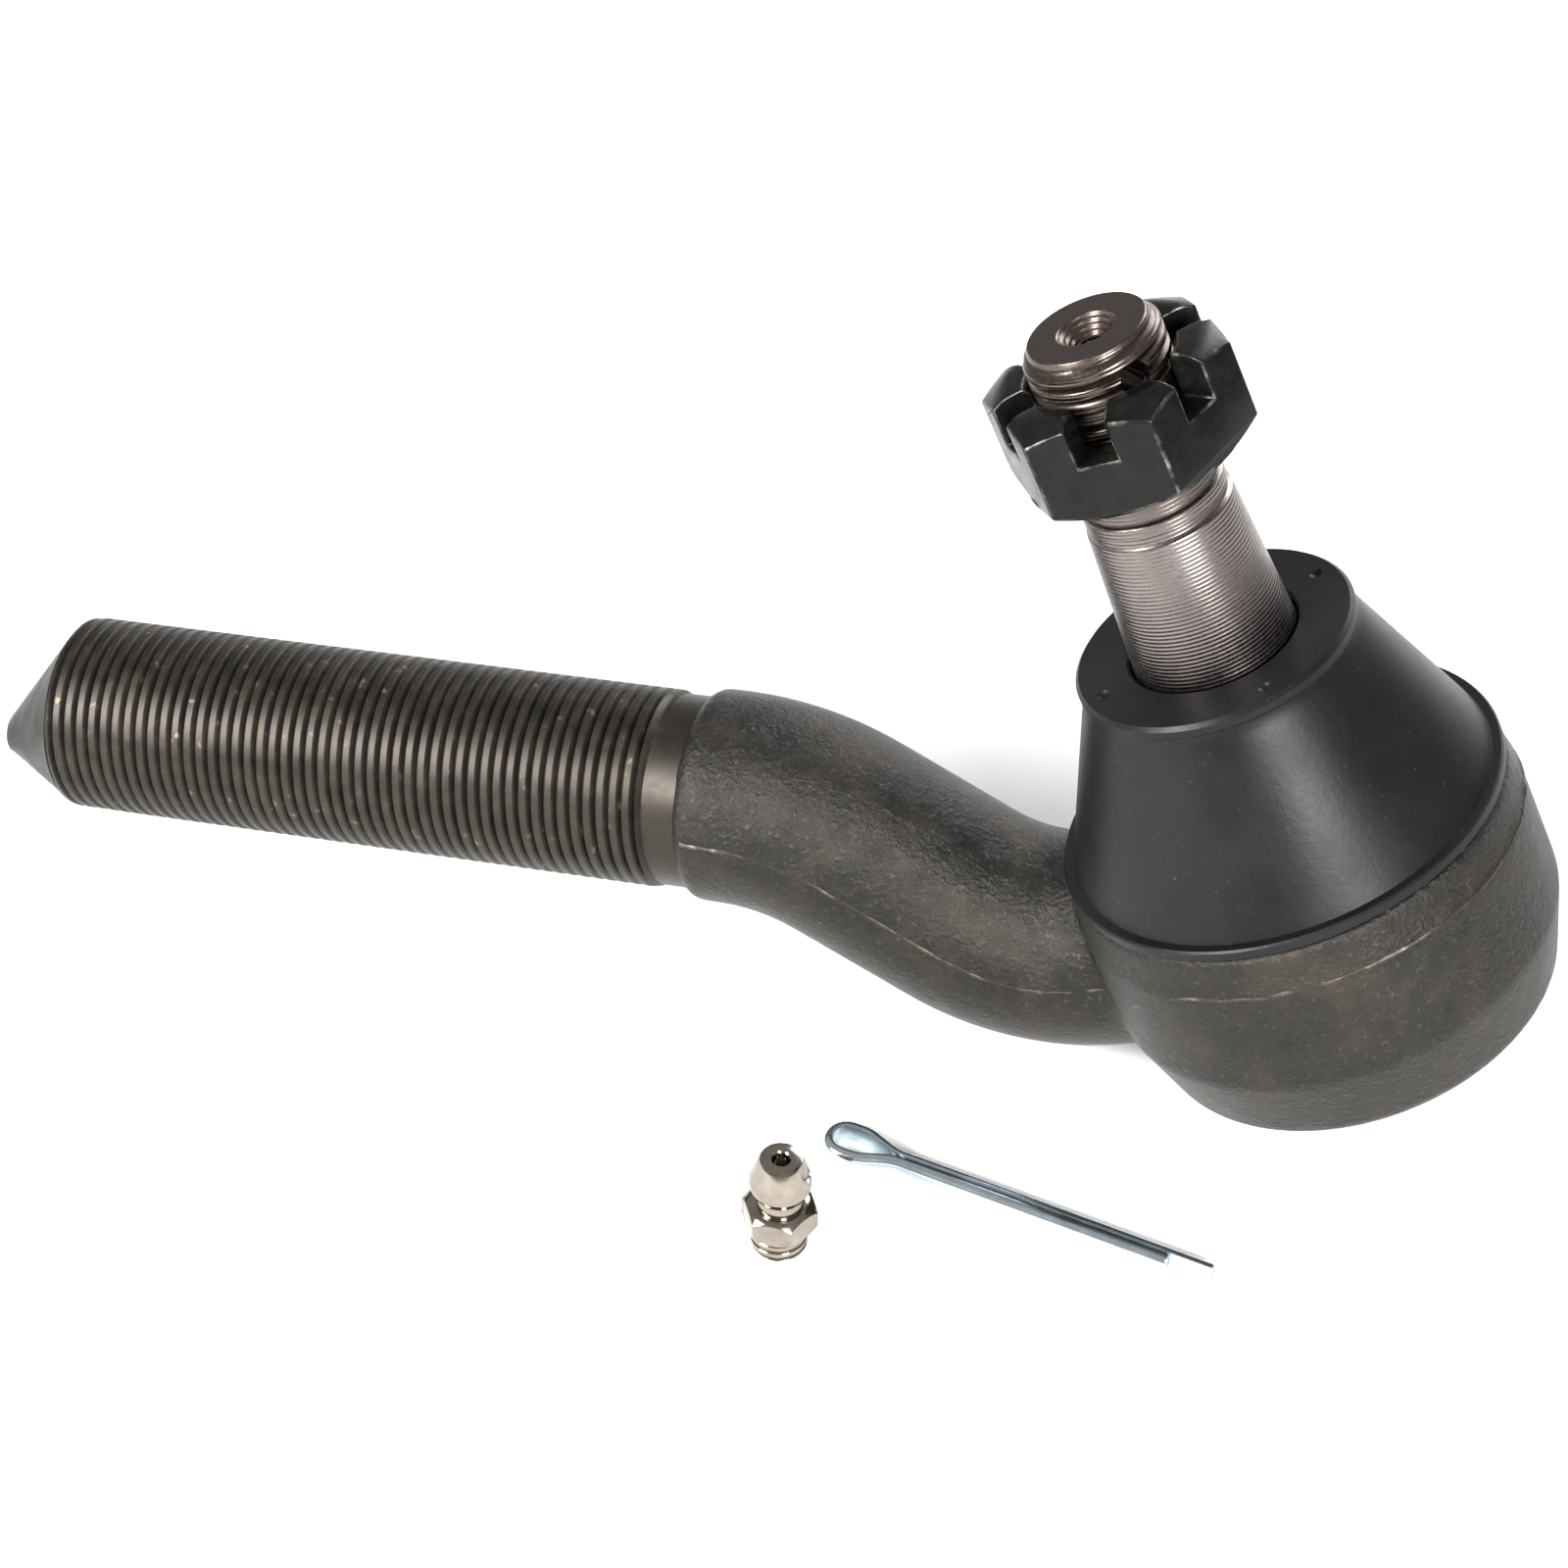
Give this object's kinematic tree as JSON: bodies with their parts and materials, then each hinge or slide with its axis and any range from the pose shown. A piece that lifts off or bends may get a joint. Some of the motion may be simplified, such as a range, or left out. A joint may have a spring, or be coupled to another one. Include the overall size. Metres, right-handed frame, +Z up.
{
  "type": "tie rod end",
  "caption": "Tie rod end with a threaded shank on a cranked forged arm, a ball joint with a tapered stud under a dust boot, a slotted nut, and its split pin and grease nipple.",
  "frame": {"origin": "on the table, under the middle of the whole part's box", "axes": "+Z up from the table the part lies on, +X from the shank's free end towards the socket, Y across the part; the stud leans in the XZ plane, towards the shank"},
  "size_m": [0.1779, 0.0694, 0.0946],
  "materials": {
    "forged_steel": "as forged with dark scale, oiled",
    "machined_steel": "turned",
    "black_oxide_steel": "black oxide, oiled, semi-gloss",
    "boot_rubber": "moulded, satin",
    "zinc_plate": "bright zinc with a blue passivate",
    "nickel_plate": "bright nickel",
    "bearing_steel": "hardened and ground",
    "spring_steel": "oiled"
  },
  "bodies": {
    "root": {"tie_rod_body": "forged_steel", "upper_bearing_seat": "bearing_steel", "pressure_seat": "bearing_steel", "preload_spring": "spring_steel", "closing_plate": "zinc_plate"},
    "boot": {"dust_boot": "boot_rubber"},
    "swivel": {"half_ball_bearing": "bearing_steel"},
    "stud": {"ball_stud": "machined_steel"},
    "nut": {"castle_nut": "black_oxide_steel"},
    "split_pin": {"cotter_pin": "zinc_plate"},
    "nipple": {"grease_nipple": "nickel_plate", "valve_spring": "spring_steel"},
    "valve": {"check_ball": "bearing_steel"}
  },
  "joints": [
    {"name": "swing_along", "type": "hinge", "parent": "root", "child": "boot", "pos_m": [0.06179, 0.01047, 0.03101], "axis": [0, 1, 0], "range_deg": [-20, 20], "deforming": ["dust_boot"]},
    {"name": "swing_across", "type": "hinge", "parent": "boot", "child": "swivel", "pos_m": [0.06179, 0.01047, 0.03101], "axis": [0.9072, 0, 0.4208], "range_deg": [-20, 20]},
    {"name": "stud_spin", "type": "hinge", "parent": "swivel", "child": "stud", "pos_m": [0.06179, 0.01047, 0.03101], "axis": [-0.4208, 0, 0.9072], "continuous": true},
    {"name": "nut_turn", "type": "hinge", "parent": "stud", "child": "nut", "pos_m": [0.03732, 0.01047, 0.08376], "axis": [-0.4208, 0, 0.9072], "continuous": true},
    {"name": "pin_lift", "type": "slide", "parent": "root", "child": "split_pin", "axis": [0, 0, 1], "range_m": [0, 0.06]},
    {"name": "nipple_lift", "type": "slide", "parent": "root", "child": "nipple", "axis": [0, 0, 1], "range_m": [0, 0.06]},
    {"name": "valve_travel", "type": "slide", "parent": "nipple", "child": "valve", "axis": [0, 0, -1], "range_m": [0, 0.0008], "stiffness_N_per_m": 120, "springref_m": -0.004, "deforming": ["valve_spring"]}
  ]
}
